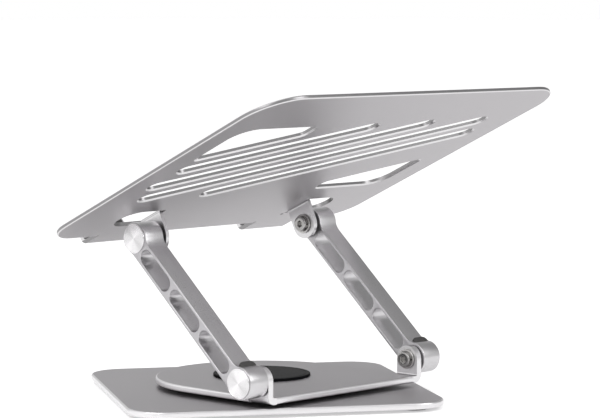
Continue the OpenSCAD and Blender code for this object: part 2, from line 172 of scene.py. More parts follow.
class StandFinishSettings(bpy.types.PropertyGroup):
    """Colours and finishes."""

    aluminium: colour_prop("Aluminium", "Blasted and anodised sheet", (0.47, 0.455, 0.47))
    arm_aluminium: colour_prop("Arm aluminium", "Blasted and anodised arms", (0.52, 0.51, 0.525))
    cut_aluminium: colour_prop("Cut aluminium", "Diamond-cut edges and turned caps", (0.84, 0.83, 0.84))
    tray_edge: colour_prop("Tray edge", "Bevels round the tray and its vents", (0.72, 0.71, 0.72))
    steel: colour_prop("Steel", "Screws and washers", (0.52, 0.51, 0.50))
    rubber: colour_prop("Rubber", "Pads and feet", (0.05, 0.048, 0.048))
    cover: colour_prop("Hub cover", "Glossy black cover", (0.006, 0.006, 0.007))
    bronze: colour_prop("Bronze", "Sintered bushes", (0.42, 0.27, 0.12))
    # Painted shade: a darker colour for the tray's upright walls and the walls of its openings, where shade falls.
    tray_wall_painted_shade: colour_prop("Tray walls", "Inner walls of the tray's openings", (0.30, 0.295, 0.30))
    blast_roughness: share_prop("Blast roughness", "Roughness of the blasted metal", 0.42)


class StandStageSettings(bpy.types.PropertyGroup):
    """Floor, lights and camera."""

    floor_tone: colour_prop("Floor", "Colour of the floor", (0.93, 0.93, 0.93))
    sky_strength: bpy.props.FloatProperty(
        name="Sky", description="Strength of the even light", default=0.62, min=0, max=3
    )
    key_power: bpy.props.FloatProperty(
        name="Key", description="Power of the key light, W", default=9, min=0, max=500
    )
    rim_power: bpy.props.FloatProperty(
        name="Rim", description="Power of the rim light, W", default=7, min=0, max=500
    )
    lens: bpy.props.FloatProperty(
        name="Lens", description="Focal length of the camera, mm", default=153.7, min=20, max=400
    )


SETTINGS = {
    "stand_arm": StandArmSettings,
    "stand_hardware": StandHardwareSettings,
    "stand_pads": StandPadSettings,
    "stand_finish": StandFinishSettings,
    "stand_stage": StandStageSettings,
}


# ---------------------------------------------------------------- shader groups


def new_group(name, inputs, outputs):
    """An empty shader group with its named sockets, and its two end nodes."""
    group = bpy.data.node_groups.new(name, "ShaderNodeTree")
    for label, kind, value in inputs:
        socket = group.interface.new_socket(label, in_out="INPUT", socket_type=kind)
        socket.default_value = value
    for label, kind in outputs:
        group.interface.new_socket(label, in_out="OUTPUT", socket_type=kind)
    return group, group.nodes.new("NodeGroupInput"), group.nodes.new("NodeGroupOutput")


def add(tree, kind, links=None, values=None, **fields):
    """A node with its fields, linked sockets and socket values set."""
    node = tree.nodes.new(kind)
    for field, value in fields.items():
        setattr(node, field, value)
    for key, source in (links or {}).items():
        tree.links.new(source, node.inputs[key])
    for key, value in (values or {}).items():
        node.inputs[key].default_value = value
    return node


def maths(tree, operation, a, b=None, clamp=False):
    """A Math node over sockets or numbers; returns its output."""
    node = tree.nodes.new("ShaderNodeMath")
    node.operation = operation
    node.use_clamp = clamp
    for slot, item in enumerate((a, b)):
        if item is None:
            continue
        if isinstance(item, (int, float)):
            node.inputs[slot].default_value = item
        else:
            tree.links.new(item, node.inputs[slot])
    return node.outputs[0]


def spread(tree, source, low, high, to_low=0.0, to_high=1.0, smooth=True):
    """A Map Range node; returns its output."""
    node = tree.nodes.new("ShaderNodeMapRange")
    node.interpolation_type = "SMOOTHSTEP" if smooth else "LINEAR"
    tree.links.new(source, node.inputs["Value"])
    for key, value in (("From Min", low), ("From Max", high), ("To Min", to_low), ("To Max", to_high)):
        if isinstance(value, (int, float)):
            node.inputs[key].default_value = value
        else:
            tree.links.new(value, node.inputs[key])
    return node.outputs["Result"]


def mixed(tree, factor, a, b, mode="MIX"):
    """A colour mix; returns its output."""
    node = tree.nodes.new("ShaderNodeMix")
    node.data_type = "RGBA"
    node.blend_type = mode
    for key, item in ((0, factor), (6, a), (7, b)):
        if isinstance(item, (int, float)):
            node.inputs[key].default_value = item
        elif isinstance(item, (tuple, list)):
            node.inputs[key].default_value = (*item[:3], 1)
        else:
            tree.links.new(item, node.inputs[key])
    return node.outputs[2]


def noise(tree, where, scale, detail=2.0, rough=0.5):
    node = add(tree, "ShaderNodeTexNoise", {"Vector": where}, {"Detail": detail, "Roughness": rough})
    if isinstance(scale, (int, float)):
        node.inputs["Scale"].default_value = scale
    else:
        tree.links.new(scale, node.inputs["Scale"])
    return node.outputs["Fac"]


def make_blast_group():
    """Bead-blasted metal: fine sparkle, soft clouding and a peened surface."""
    group, start, end = new_group(
        "Bead blast",
        [
            ("Colour", "NodeSocketColor", (0.5, 0.5, 0.5, 1)),
            ("Grain", "NodeSocketFloat", 2600.0),
            ("Contrast", "NodeSocketFloat", 0.12),
            ("Roughness", "NodeSocketFloat", 0.4),
        ],
        [("Colour", "NodeSocketColor"), ("Roughness", "NodeSocketFloat"), ("Height", "NodeSocketFloat")],
    )
    place = add(group, "ShaderNodeTexCoord").outputs["Object"]
    fine = noise(group, place, start.outputs["Grain"], 3.0, 0.65)
    cloud = noise(group, place, 16.0, 3.0, 0.55)
    peen = add(
        group, "ShaderNodeTexVoronoi", {"Vector": place, "Scale": start.outputs["Grain"]},
        feature="SMOOTH_F1"
    ).outputs["Distance"]
    shade = maths(
        group, "ADD",
        maths(group, "MULTIPLY", maths(group, "SUBTRACT", fine, 0.5), start.outputs["Contrast"]), 1.0
    )
    shade = maths(group, "ADD", shade, maths(group, "MULTIPLY", maths(group, "SUBTRACT", cloud, 0.5), 0.05))
    tone = add(group, "ShaderNodeCombineColor", {"Red": shade, "Green": shade, "Blue": shade}).outputs[0]
    group.links.new(mixed(group, 1.0, start.outputs["Colour"], tone, "MULTIPLY"), end.inputs["Colour"])
    rough = maths(
        group, "ADD", start.outputs["Roughness"],
        maths(group, "MULTIPLY", maths(group, "SUBTRACT", fine, 0.5), 0.14)
    )
    rough = maths(group, "ADD", rough, maths(group, "MULTIPLY", maths(group, "SUBTRACT", cloud, 0.5), 0.06))
    group.links.new(rough, end.inputs["Roughness"])
    group.links.new(
        maths(group, "ADD", maths(group, "MULTIPLY", peen, 0.6), maths(group, "MULTIPLY", fine, 0.4)),
        end.inputs["Height"]
    )
    return group


def make_cut_group():
    """Masks of a plate's cut edges, which lean away from its normal, and of the upright walls inside its sheet,
    which take painted shade.
    """
    group, start, end = new_group(
        "Cut edge",
        [
            ("Normal", "NodeSocketVector", (0, 0, 1)),
            ("Start", "NodeSocketFloat", 0.985),
            ("Stop", "NodeSocketFloat", 0.93),
            ("Low", "NodeSocketFloat", 0.0),
            ("High", "NodeSocketFloat", 1.0),
        ],
        [("Mask", "NodeSocketFloat"), ("Painted wall shade", "NodeSocketFloat")],
    )
    lean = add(group, "ShaderNodeTexCoord").outputs["Normal"]
    dot = add(
        group, "ShaderNodeVectorMath", {0: lean, 1: start.outputs["Normal"]}, operation="DOT_PRODUCT"
    ).outputs["Value"]
    mask = spread(
        group, maths(group, "ABSOLUTE", dot), start.outputs["Stop"], start.outputs["Start"], 1.0, 0.0
    )
    group.links.new(mask, end.inputs["Mask"])
    place = add(group, "ShaderNodeTexCoord").outputs["Object"]
    height = add(
        group, "ShaderNodeVectorMath", {0: place, 1: start.outputs["Normal"]}, operation="DOT_PRODUCT"
    ).outputs["Value"]
    # Painted shade mask: upright faces within the sheet's span along the normal.
    upright = spread(group, maths(group, "ABSOLUTE", dot), 0.25, 0.45, 1.0, 0.0)
    inside = maths(
        group, "MULTIPLY", maths(group, "GREATER_THAN", height, start.outputs["Low"]),
        maths(group, "LESS_THAN", height, start.outputs["High"])
    )
    group.links.new(maths(group, "MULTIPLY", upright, inside), end.inputs["Painted wall shade"])
    return group


def make_turned_group():
    """Concentric tool marks about a hinge axis along X, with a painted highlight: fixed rays of light and shade
    painted into the colour by angle round the axis.
    """
    group, start, end = new_group(
        "Turned face, painted highlight",
        [
            ("Centre Y", "NodeSocketFloat", 0.0),
            ("Centre Z", "NodeSocketFloat", 0.0),
            ("Pitch", "NodeSocketFloat", 7000.0),
            ("Painted highlight rays", "NodeSocketFloat", 0.35),
        ],
        [("Painted highlight and tone", "NodeSocketFloat"), ("Height", "NodeSocketFloat")],
    )
    place = add(group, "ShaderNodeSeparateXYZ", {0: add(group, "ShaderNodeTexCoord").outputs["Object"]})
    dy = maths(group, "SUBTRACT", place.outputs["Y"], start.outputs["Centre Y"])
    dz = maths(group, "SUBTRACT", place.outputs["Z"], start.outputs["Centre Z"])
    radius = maths(
        group, "SQRT",
        maths(group, "ADD", maths(group, "MULTIPLY", dy, dy), maths(group, "MULTIPLY", dz, dz))
    )
    grooves = maths(group, "SINE", maths(group, "MULTIPLY", radius, start.outputs["Pitch"]))
    wander = noise(group, add(group, "ShaderNodeCombineXYZ", {"X": radius}).outputs[0], 2400.0, 3.0, 0.7)
    # Painted highlight: fixed rays of light and shade by angle round the axis, painted into the colour.
    angle = maths(group, "ARCTAN2", dz, dy)
    highlight_fan = maths(group, "COSINE", maths(group, "ADD", maths(group, "MULTIPLY", angle, 2.0), -2.2))
    fine_highlight_fan = maths(group, "COSINE", maths(group, "ADD", maths(group, "MULTIPLY", angle, 6.0), 1.1))
    light = maths(
        group, "ADD", maths(group, "MULTIPLY", highlight_fan, 0.75), maths(group, "MULTIPLY", fine_highlight_fan, 0.25)
    )
    shade = maths(
        group, "ADD", 1.0,
        maths(group, "MULTIPLY", maths(group, "MULTIPLY", light, start.outputs["Painted highlight rays"]), 0.5)
    )
    shade = maths(
        group, "ADD", shade, maths(group, "MULTIPLY", maths(group, "SUBTRACT", wander, 0.5), 0.12)
    )
    group.links.new(shade, end.inputs["Painted highlight and tone"])
    group.links.new(
        maths(group, "ADD", maths(group, "MULTIPLY", grooves, 0.4), wander), end.inputs["Height"]
    )
    return group


def make_dust_group():
    """Faint dust and handling marks: a mask of specks and a roughness that drifts."""
    group, start, end = new_group(
        "Dust",
        [("Amount", "NodeSocketFloat", 0.2), ("Roughness", "NodeSocketFloat", 0.5)],
        [("Mask", "NodeSocketFloat"), ("Roughness", "NodeSocketFloat")],
    )
    place = add(group, "ShaderNodeTexCoord").outputs["Object"]
    specks = spread(group, noise(group, place, 1900.0, 2.0, 0.6), 0.66, 0.74)
    haze = noise(group, place, 45.0, 4.0, 0.6)
    mask = maths(
        group, "MULTIPLY",
        maths(group, "ADD", maths(group, "MULTIPLY", specks, 0.7), maths(group, "MULTIPLY", haze, 0.3)),
        start.outputs["Amount"], clamp=True
    )
    group.links.new(mask, end.inputs["Mask"])
    drift = maths(
        group, "ADD", start.outputs["Roughness"],
        maths(group, "MULTIPLY", maths(group, "SUBTRACT", haze, 0.5), 0.12)
    )
    group.links.new(drift, end.inputs["Roughness"])
    return group


def make_grain_group():
    """Moulded rubber: pebbled surface and slight mottling."""
    group, start, end = new_group(
        "Rubber grain",
        [("Colour", "NodeSocketColor", (0.05, 0.05, 0.05, 1)), ("Scale", "NodeSocketFloat", 1500.0)],
        [("Colour", "NodeSocketColor"), ("Height", "NodeSocketFloat")],
    )
    place = add(group, "ShaderNodeTexCoord").outputs["Object"]
    pebble = add(
        group, "ShaderNodeTexVoronoi", {"Vector": place, "Scale": start.outputs["Scale"]}
    ).outputs["Distance"]
    mottle = noise(group, place, 180.0, 3.0, 0.6)
    shade = spread(group, mottle, 0.3, 0.7, 0.8, 1.25)
    tone = add(group, "ShaderNodeCombineColor", {"Red": shade, "Green": shade, "Blue": shade}).outputs[0]
    group.links.new(mixed(group, 1.0, start.outputs["Colour"], tone, "MULTIPLY"), end.inputs["Colour"])
    group.links.new(pebble, end.inputs["Height"])
    return group


GROUPS = {}
GROUP_MAKERS = {
    "blast": make_blast_group,
    "cut": make_cut_group,
    "turned": make_turned_group,
    "dust": make_dust_group,
    "grain": make_grain_group,
}


def group_node(tree, key, **values):
    """Places a shared group in a material, with its own values."""
    if key not in GROUPS:
        GROUPS[key] = GROUP_MAKERS[key]()
    node = tree.nodes.new("ShaderNodeGroup")
    node.node_tree = GROUPS[key]
    for name, value in values.items():
        label = name.replace("_", " ")
        if isinstance(value, (tuple, list)) and node.inputs[label].type == "RGBA":
            value = (*value[:3], 1)
        node.inputs[label].default_value = value
    return node


# ---------------------------------------------------------------- materials


def new_material(name, **constants):
    """A material with a Principled shader and its constants set on the shader itself."""
    material = bpy.data.materials.new(name)
    material.use_nodes = True
    tree = material.node_tree
    shader = tree.nodes["Principled BSDF"]
    for key, value in constants.items():
        shader.inputs[key.replace("_", " ")].default_value = value
    return material, tree, shader


def add_bump(tree, shader, height, strength, distance):
    bump = add(tree, "ShaderNodeBump", {"Height": height}, {"Strength": strength, "Distance": distance})
    tree.links.new(bump.outputs["Normal"], shader.inputs["Normal"])


def blasted(name, colour, normal=None, cut=None, roughness=0.38, stop=0.93, wall_shade=None, span=(0.0, 1.0)):
    """Anodised aluminium; a plate normal cuts its edges bright, and painted shade darkens the upright walls inside
    its sheet.
    """
    material, tree, shader = new_material(name, Metallic=1.0)
    blast = group_node(tree, "blast", Colour=colour, Roughness=roughness)
    body, rough = blast.outputs["Colour"], blast.outputs["Roughness"]
    if normal is not None:
        edge = group_node(tree, "cut", Normal=tuple(normal), Stop=stop, Low=span[0], High=span[1])
        mask = edge.outputs["Mask"]
        body = mixed(tree, mask, body, cut)
        if wall_shade is not None:
            # Painted shade: the upright walls inside the sheet take the darker wall colour.
            body = mixed(tree, edge.outputs["Painted wall shade"], body, wall_shade)
        rough = maths(tree, "ADD", rough, maths(tree, "MULTIPLY", mask, -0.12))
    tree.links.new(body, shader.inputs["Base Color"])
    tree.links.new(rough, shader.inputs["Roughness"])
    add_bump(tree, shader, blast.outputs["Height"], 0.12, 0.00005)
    return material


def turned_metal(name, colour, level, roughness=0.24):
    """A turned cap: fine concentric marks about its hinge axis, and painted highlight rays in its colour."""
    material, tree, shader = new_material(name, Metallic=1.0)
    centre = AXES[level] * MM
    face = group_node(tree, "turned", Centre_Y=centre.y, Centre_Z=centre.z)
    # The turned face's output carries the painted highlight rays, multiplied into the base colour.
    shade = face.outputs["Painted highlight and tone"]
    tone = add(tree, "ShaderNodeCombineColor", {"Red": shade, "Green": shade, "Blue": shade}).outputs[0]
    tree.links.new(mixed(tree, 1.0, colour, tone, "MULTIPLY"), shader.inputs["Base Color"])
    dust = group_node(tree, "dust", Roughness=roughness)
    tree.links.new(dust.outputs["Roughness"], shader.inputs["Roughness"])
    add_bump(tree, shader, face.outputs["Height"], 0.10, 0.00006)
    return material


def plated_steel(name, colour, roughness):
    """Steel with a drifting polish and a little dirt in its clouding."""
    material, tree, shader = new_material(name, Metallic=1.0)
    dust = group_node(tree, "dust", Amount=0.25, Roughness=roughness)
    blast = group_node(tree, "blast", Colour=colour, Grain=1400.0, Contrast=0.2, Roughness=roughness)
    tree.links.new(
        mixed(tree, dust.outputs["Mask"], blast.outputs["Colour"], (0.12, 0.11, 0.10)),
        shader.inputs["Base Color"]
    )
    tree.links.new(dust.outputs["Roughness"], shader.inputs["Roughness"])
    add_bump(tree, shader, blast.outputs["Height"], 0.05, 0.00003)
    return material


def moulded(name, colour, roughness, scale=1500.0, bump=0.3, gloss=0.4, dirt=0.10):
    """Rubber, nylon or gloss plastic."""
    material, tree, shader = new_material(name, Metallic=0.0, Specular_IOR_Level=gloss)
    grain = group_node(tree, "grain", Colour=colour, Scale=scale)
    dust = group_node(tree, "dust", Amount=dirt, Roughness=roughness)
    tree.links.new(
        mixed(tree, dust.outputs["Mask"], grain.outputs["Colour"], (0.35, 0.34, 0.33)),
        shader.inputs["Base Color"]
    )
    tree.links.new(dust.outputs["Roughness"], shader.inputs["Roughness"])
    add_bump(tree, shader, grain.outputs["Height"], bump, 0.00008)
    return material


MATERIALS = {}


def paint(obj, key):
    """One finish over the whole of a piece."""
    obj.data.materials.clear()
    obj.data.materials.append(MATERIALS[key])


# ---------------------------------------------------------------- mesh makers


def smooth_mesh(mesh, sharp=35.0):
    mesh.polygons.foreach_set("use_smooth", [True] * len(mesh.polygons))
    mesh.set_sharp_from_angle(angle=radians(sharp))


def piece_from(bm, name, placed, body, finish, replaced=(), sharp=35.0):
    """Turns a bmesh in millimetres into a finished piece that rides on a body."""
    bmesh.ops.remove_doubles(bm, verts=bm.verts, dist=1e-4)
    bmesh.ops.recalc_face_normals(bm, faces=bm.faces)
    bm.transform(Matrix.Diagonal((MM, MM, MM, 1)) @ placed)
    if placed.determinant() < 0:
        bmesh.ops.recalc_face_normals(bm, faces=bm.faces)
    mesh = bpy.data.meshes.new(name)
    bm.to_mesh(mesh)
    bm.free()
    smooth_mesh(mesh, sharp)
    obj = bpy.data.objects.new(name, mesh)
    bpy.context.scene.collection.objects.link(obj)
    paint(obj, finish)
    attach(obj, body)
    if replaced:
        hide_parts(*replaced)
    return obj


def on_axis(level, side, x=0.0):
    """Local z runs outwards along a hinge axis, from x mm off the centre plane."""
    centre = AXES[level]
    turn = Matrix(((0, 0, side, 0), (0, 1, 0, 0), (1, 0, 0, 0), (0, 0, 0, 1)))
    return Matrix.Translation((side * x, centre.y, centre.z)) @ turn


def in_tray():
    """The tray's frame: x width, y depth behind the upper hinge, z along its normal."""
    return Matrix.Translation(UP_AXIS) @ Matrix.Rotation(TRAY_TILT, 4, "X")


def in_arm(side):
    """The arm's frame: x along the arm, y to its upper side, z outwards."""
    along = Vector((0, -cos(ARM_RISE), sin(ARM_RISE)))
    upper = Vector((0, sin(ARM_RISE), cos(ARM_RISE)))
    out = Vector((side, 0, 0))
    turn = Matrix((along, upper, out)).transposed().to_4x4()
    return Matrix.Translation(LOW_AXIS) @ turn


def ring_points(row, segments):
    """One ring of a turned piece; a row is (radius, height, shape)."""
    radius, height = row[0], row[1]
    shape = row[2] if len(row) > 2 else "round"
    points = []
    for k in range(segments):
        a = 2 * pi * k / segments
        r = radius
        if shape == "hex":
            r = radius / cos((a % (pi / 3)) - pi / 6)
        elif shape == "knurl":
            r = radius - 0.09 * (1 - cos(36 * a)) / 2
        points.append((r * cos(a), r * sin(a), height))
    return points


def lathe(bm, rows, segments=72, closed=False):
    """Joins rings into a turned solid; radius 0 is a pole, and closed joins the last ring to the first."""
    rings = []
    for row in rows:
        if row[0] == 0:
            rings.append([bm.verts.new((0, 0, row[1]))])
        else:
            rings.append([bm.verts.new(p) for p in ring_points(row, segments)])
    pairs = list(zip(rings, rings[1:]))
    if closed:
        pairs.append((rings[-1], rings[0]))
    for low, high in pairs:
        for k in range(segments):
            n = (k + 1) % segments
            if len(low) == 1:
                bm.faces.new((low[0], high[n], high[k]))
            elif len(high) == 1:
                bm.faces.new((low[k], low[n], high[0]))
            else:
                bm.faces.new((low[k], low[n], high[n], high[k]))


def rounded(corner, start, stop, radius, steps=4):
    """Points of an arc in a profile, about corner, between two angles in degrees."""
    return [
        (
            corner[0] + radius * cos(radians(start + (stop - start) * k / steps)),
            corner[1] + radius * sin(radians(start + (stop - start) * k / steps))
        )
        for k in range(steps + 1)
    ]


def washer_rows(inner, outer, low, high, edge):
    """Closed profile of a washer with rounded outer edges."""
    return [
        (inner, low), *rounded((outer - edge, low + edge), -90, 0, edge),
        *rounded((outer - edge, high - edge), 0, 90, edge), (inner, high)
    ]


def arc2d(cx, cy, r, a0, a1, step=6.0):
    """Points of a plan arc between two angles in degrees."""
    count = max(2, int(abs(a1 - a0) / step))
    return [(
        cx + r * cos(radians(a0 + (a1 - a0) * k / count)),
        cy + r * sin(radians(a0 + (a1 - a0) * k / count))
    ) for k in range(count + 1)]


def oblong2d(cx, cy, length, radius):
    half = length / 2 - radius
    return arc2d(cx + half, cy, radius, -90, 90, 7.5) + arc2d(cx - half, cy, radius, 90, 270, 7.5)


def plate(bm, loops, low, high, edge, steps=3):
    """A plate with holes: plan loops, the first the outline, extruded with rounded edges."""
    curve = bpy.data.curves.new("outline", "CURVE")
    curve.dimensions = "2D"
    curve.fill_mode = "BOTH"
    curve.extrude = (high - low) / 2 - edge
    curve.bevel_depth = edge
    curve.bevel_resolution = steps
    curve.offset = -edge
    for loop in loops:
        spline = curve.splines.new("POLY")
        spline.points.add(len(loop) - 1)
        for point, (x, y) in zip(spline.points, loop):
            point.co = (x, y, 0, 1)
        spline.use_cyclic_u = True
    holder = bpy.data.objects.new("outline", curve)
    bpy.context.scene.collection.objects.link(holder)
    bpy.context.view_layer.update()
    evaluated = holder.evaluated_get(bpy.context.evaluated_depsgraph_get())
    mesh = bpy.data.meshes.new_from_object(evaluated)
    mesh.transform(Matrix.Translation((0, 0, (low + high) / 2)))
    bm.from_mesh(mesh)
    bpy.data.objects.remove(holder)
    bpy.data.curves.remove(curve)
    bpy.data.meshes.remove(mesh)


# ---------------------------------------------------------------- operators


class STAND_OT_finishes(bpy.types.Operator):
    """Makes every finish and gives the carried-over frame its materials"""

    bl_idname = "stand.finishes"
    bl_label = "Finishes"

    def execute(self, context):
        s = context.scene.stand_finish
        tray_normal = (0, -sin(TRAY_TILT), cos(TRAY_TILT))
        alu, arm, cut = tuple(s.aluminium), tuple(s.arm_aluminium), tuple(s.cut_aluminium)
        rough = s.blast_roughness
        MATERIALS["plate"] = blasted("Blasted plate, cut edges", alu, (0, 0, 1), cut, rough)
        hinge_height = Vector(tray_normal).dot(UP_AXIS)
        span = ((hinge_height + TRAY_LOW) * MM, (hinge_height + TRAY_TOP) * MM)
        # The tray gets painted shade on its upright walls, within the sheet's span.
        MATERIALS["tray"] = blasted(
            "Blasted tray, cut edges, painted wall shade", alu, tray_normal, tuple(s.tray_edge), rough, 0.93,
            tuple(s.tray_wall_painted_shade), span
        )
        MATERIALS["arm"] = blasted(
            "Blasted arm", arm, (1, 0, 0), tuple(0.55 * a + 0.45 * c for a, c in zip(arm, cut)), rough,
            0.6
        )
        for level in LEVELS:
            MATERIALS["cap_" + level] = turned_metal("Turned cap, " + level, cut, level)
        MATERIALS["steel"] = plated_steel("Plated steel", tuple(s.steel), 0.26)
        MATERIALS["screw"] = plated_steel("Polished screw steel", tuple(0.8 * c for c in s.steel), 0.16)
        MATERIALS["bronze"] = plated_steel("Sintered bronze", tuple(s.bronze), 0.42)
        MATERIALS["rubber"] = moulded("Silicone rubber", tuple(s.rubber), 0.62)
        MATERIALS["nylon"] = moulded("Black nylon", (0.03, 0.03, 0.032), 0.45, 900.0, 0.12)
        MATERIALS["cover"] = moulded("Gloss black cover", tuple(s.cover), 0.18, 700.0, 0.02, 0.002, 0.015)
        finish = {
            "anodised_base": "plate",
            "anodised_tray": "tray",
            "anodised_arm": "arm",
            "steel": "steel",
            "black_steel": "screw",
            "bronze": "bronze",
            "black_cover": "cover",
            "nylon": "nylon",
            "foot_rubber": "rubber",
            "pad_rubber": "rubber",
        }
        for part in record["subparts"]:
            name, slot = part["node"], part["material_slot"]
            if slot == "spun_cap":
                key = "cap_lower" if "lower" in name else "cap_upper"
            else:
                key = finish[slot]
            paint(nodes[name], key)
        return {"FINISHED"}


class STAND_OT_arms(bpy.types.Operator):
    """Builds the two slotted arms with rounded edges, and their rubber stops"""

    bl_idname = "stand.arms"
    bl_label = "Arms"

    def outline(self, s):
        """The arm's outline and slots, x along the arm from the lower hub."""
        q = s.hub_radius + s.fillet
        loop = []
        for edge, sign in ((s.bar_lower, -1), (s.bar_upper, 1)):
            f = sqrt(q * q - (edge + s.fillet) ** 2)
            lean = atan2(edge + s.fillet, f) * 180 / pi
            if sign < 0:
                near = arc2d(f, -(edge + s.fillet), s.fillet, 180 - lean, 90)
                far = arc2d(ARM_LENGTH - f, -(edge + s.fillet), s.fillet, 90, lean)
                hub_far = arc2d(ARM_LENGTH, 0, s.hub_radius, -(180 - lean), 0)
                loop += near + far + hub_far[:-1]
            else:
                hub_far = arc2d(ARM_LENGTH, 0, s.hub_radius, 0, 180 - lean)
                far = arc2d(ARM_LENGTH - f, edge + s.fillet, s.fillet, -lean, -90)
                near = arc2d(f, edge + s.fillet, s.fillet, -90, -(180 - lean))
                loop += hub_far + far[1:] + near
                loop += arc2d(0, 0, s.hub_radius, lean, 180)[1:]
        f = sqrt(q * q - (s.bar_lower + s.fillet) ** 2)
        lean = atan2(s.bar_lower + s.fillet, f) * 180 / pi
        loop += arc2d(0, 0, s.hub_radius, 180, 360 - lean)[1:-1]
        tidy = [loop[0]]
        for p in loop[1:]:
            if hypot(p[0] - tidy[-1][0], p[1] - tidy[-1][1]) > 0.02:
                tidy.append(p)
        slots = [oblong2d(
            ARM_LENGTH / 2 + 0.6 + k * s.slot_pitch, -1.6, s.slot_length, s.slot_radius
        ) for k in (-1, 0, 1)]
        return [tidy, *slots]

    def execute(self, context):
        s = context.scene.stand_arm
        for side, sign in SIDES.items():
            low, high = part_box(side + "_arm")
            inner, outer = sorted((abs(low.x) / MM, abs(high.x) / MM))
            bm = bmesh.new()
            plate(bm, self.outline(s), inner, outer, s.edge)
            piece_from(
                bm, side + "_arm_shell", in_arm(sign), side + "_arm", "arm",
                [side + "_arm"], 30.0
            )
            bm = bmesh.new()
            middle = (inner + outer) / 2
            plate(bm, [oblong2d(0, 0, STOP_LENGTH, STOP_RADIUS)], 0, STOP_HEIGHT, STOP_EDGE, 4)
            along, above = STOP_PLACE
            turn = Matrix(((0, 1, 0, along), (0, 0, 1, above), (1, 0, 0, middle), (0, 0, 0, 1)))
            piece_from(
                bm, side + "_arm_stop", in_arm(sign) @ turn, side + "_arm", "rubber",
                [side + "_arm_pad"]
            )
        return {"FINISHED"}


class STAND_OT_hinge_hardware(bpy.types.Operator):
    """Builds the socket screws, washers and turned caps of the four hinges"""

    bl_idname = "stand.hinge_hardware"
    bl_label = "Hinge hardware"

    def screw_rows(self, s):
        r, hex_r, shank, pitch = s.head_radius, s.socket_half, s.shank_radius, s.thread_pitch
        rows = [
            (0, 2.25), (hex_r, 2.2, "hex"), (hex_r, 0.3, "hex"), (hex_r + 0.12, 0.16, "hex"),
            (hex_r * 1.2 + 0.25, 0.12), (r - 1.35, 0.12), (r - 1.25, 0.0)
        ]
        rows += [(c, 0.55 - h) for c, h in rounded((r - 0.55, 0.0), 90, 0, 0.55)]
        rows += [
            (r, 0.7), (r, 0.72, "knurl"), (r, 1.5, "knurl"), (r - 0.05, 1.6), (r - 0.15, 1.65),
            (shank, 1.65), (shank, 13.8)
        ]
        depth = 14.0
        while depth < 20.4:
            rows += [
                (shank - 0.32, depth), (shank - 0.32, depth + 0.1), (shank, depth + pitch / 2),
                (shank, depth + pitch / 2 + 0.12)
            ]
            depth += pitch
        rows += [(shank - 0.5, 21.1), (0, 21.2)]
        return rows

    def lock_washer(self, bm, low, placed):
        """A split ring whose ends stand a little apart."""
        inner, outer, thick, steps = WASHER_BORE, 5.2, 0.85, 72
        sections = []
        for k in range(steps + 1):
            t = k / steps
            a = radians(96 + 348 * t)
            lift = low + 0.1 * t
            corners = [
                (inner, 0), (outer - 0.12, 0), (outer, 0.12), (outer, thick - 0.12),
                (outer - 0.12, thick), (inner, thick)
            ]
            sections.append([
                bm.verts.new(placed @ Vector((r * cos(a), r * sin(a), lift + h))) for r, h in corners
            ])
        for one, two in zip(sections, sections[1:]):
            for k in range(6):
                bm.faces.new((one[k], one[(k + 1) % 6], two[(k + 1) % 6], two[k]))
        bm.faces.new(list(reversed(sections[0])))
        bm.faces.new(sections[-1])

    def execute(self, context):
        s = context.scene.stand_hardware
        for side, sign in SIDES.items():
            body = side + "_arm"
            flat, lock, rub = bmesh.new(), bmesh.new(), bmesh.new()
            for level in LEVELS:
                screw = f"{side}_{level}_screw"
                low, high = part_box(screw)
                face = min(abs(low.x), abs(high.x)) / MM
                bm = bmesh.new()
                lathe(bm, self.screw_rows(s), 144)
                piece_from(
                    bm, f"{side}_{level}_socket_screw", on_axis(level, sign, face), body,
                    "screw", [screw], 28.0
                )
                cap = f"{side}_{level}_cap"
                low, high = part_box(cap)
                end = max(abs(low.x), abs(high.x)) / MM
                r = s.cap_radius
                rows = [(0, -2.9), (5.95, -2.9), (5.95, -1.0), (r - 0.1, -1.0), (r, -0.9), (r, -0.35)]
                rows += [(c, h - 0.3) for c, h in rounded((r - 0.3, 0.0), 0, 90, 0.3)][1:]
                rows += [
                    (r - 0.55, 0.0), (r - 0.62, -0.06), (r - 0.75, -0.06), (r - 0.82, 0.0), (1.0, -0.12),
                    (0, -0.12)
                ]
                bm = bmesh.new()
                lathe(bm, rows, 96)
                piece_from(
                    bm, f"{side}_{level}_turned_cap", on_axis(level, sign, end), body,
                    "cap_" + level, [cap], 25.0
                )
                place = on_axis(level, sign, 0)
                part = bmesh.new()
                lathe(part, washer_rows(WASHER_BORE, *FLAT_WASHER), 72, True)
                part.transform(place)
                join(flat, part)
                self.lock_washer(lock, LOCK_WASHER_START, place)
                part = bmesh.new()
                lathe(
                    part,
                    washer_rows(WASHER_BORE, FRICTION_RADIUS, FRICTION_START[level], FRICTION_END, 0.2),
                    72, True
                )
                part.transform(place)
                join(rub, part)
            piece_from(
                flat, side + "_flat_washer_pair", Matrix.Identity(4), body, "steel",
                [side + "_flat_washers"]
            )
            piece_from(
                lock, side + "_lock_washer_pair", Matrix.Identity(4), body, "screw",
                [side + "_spring_washers"]
            )
            piece_from(
                rub, side + "_friction_washer_pair", Matrix.Identity(4), body, "nylon",
                [side + "_friction_washers"]
            )
        return {"FINISHED"}


def join(target, part):
    """Adds one bmesh to another and frees it."""
    mesh = bpy.data.meshes.new("part")
    part.to_mesh(mesh)
    part.free()
    target.from_mesh(mesh)
    bpy.data.meshes.remove(mesh)


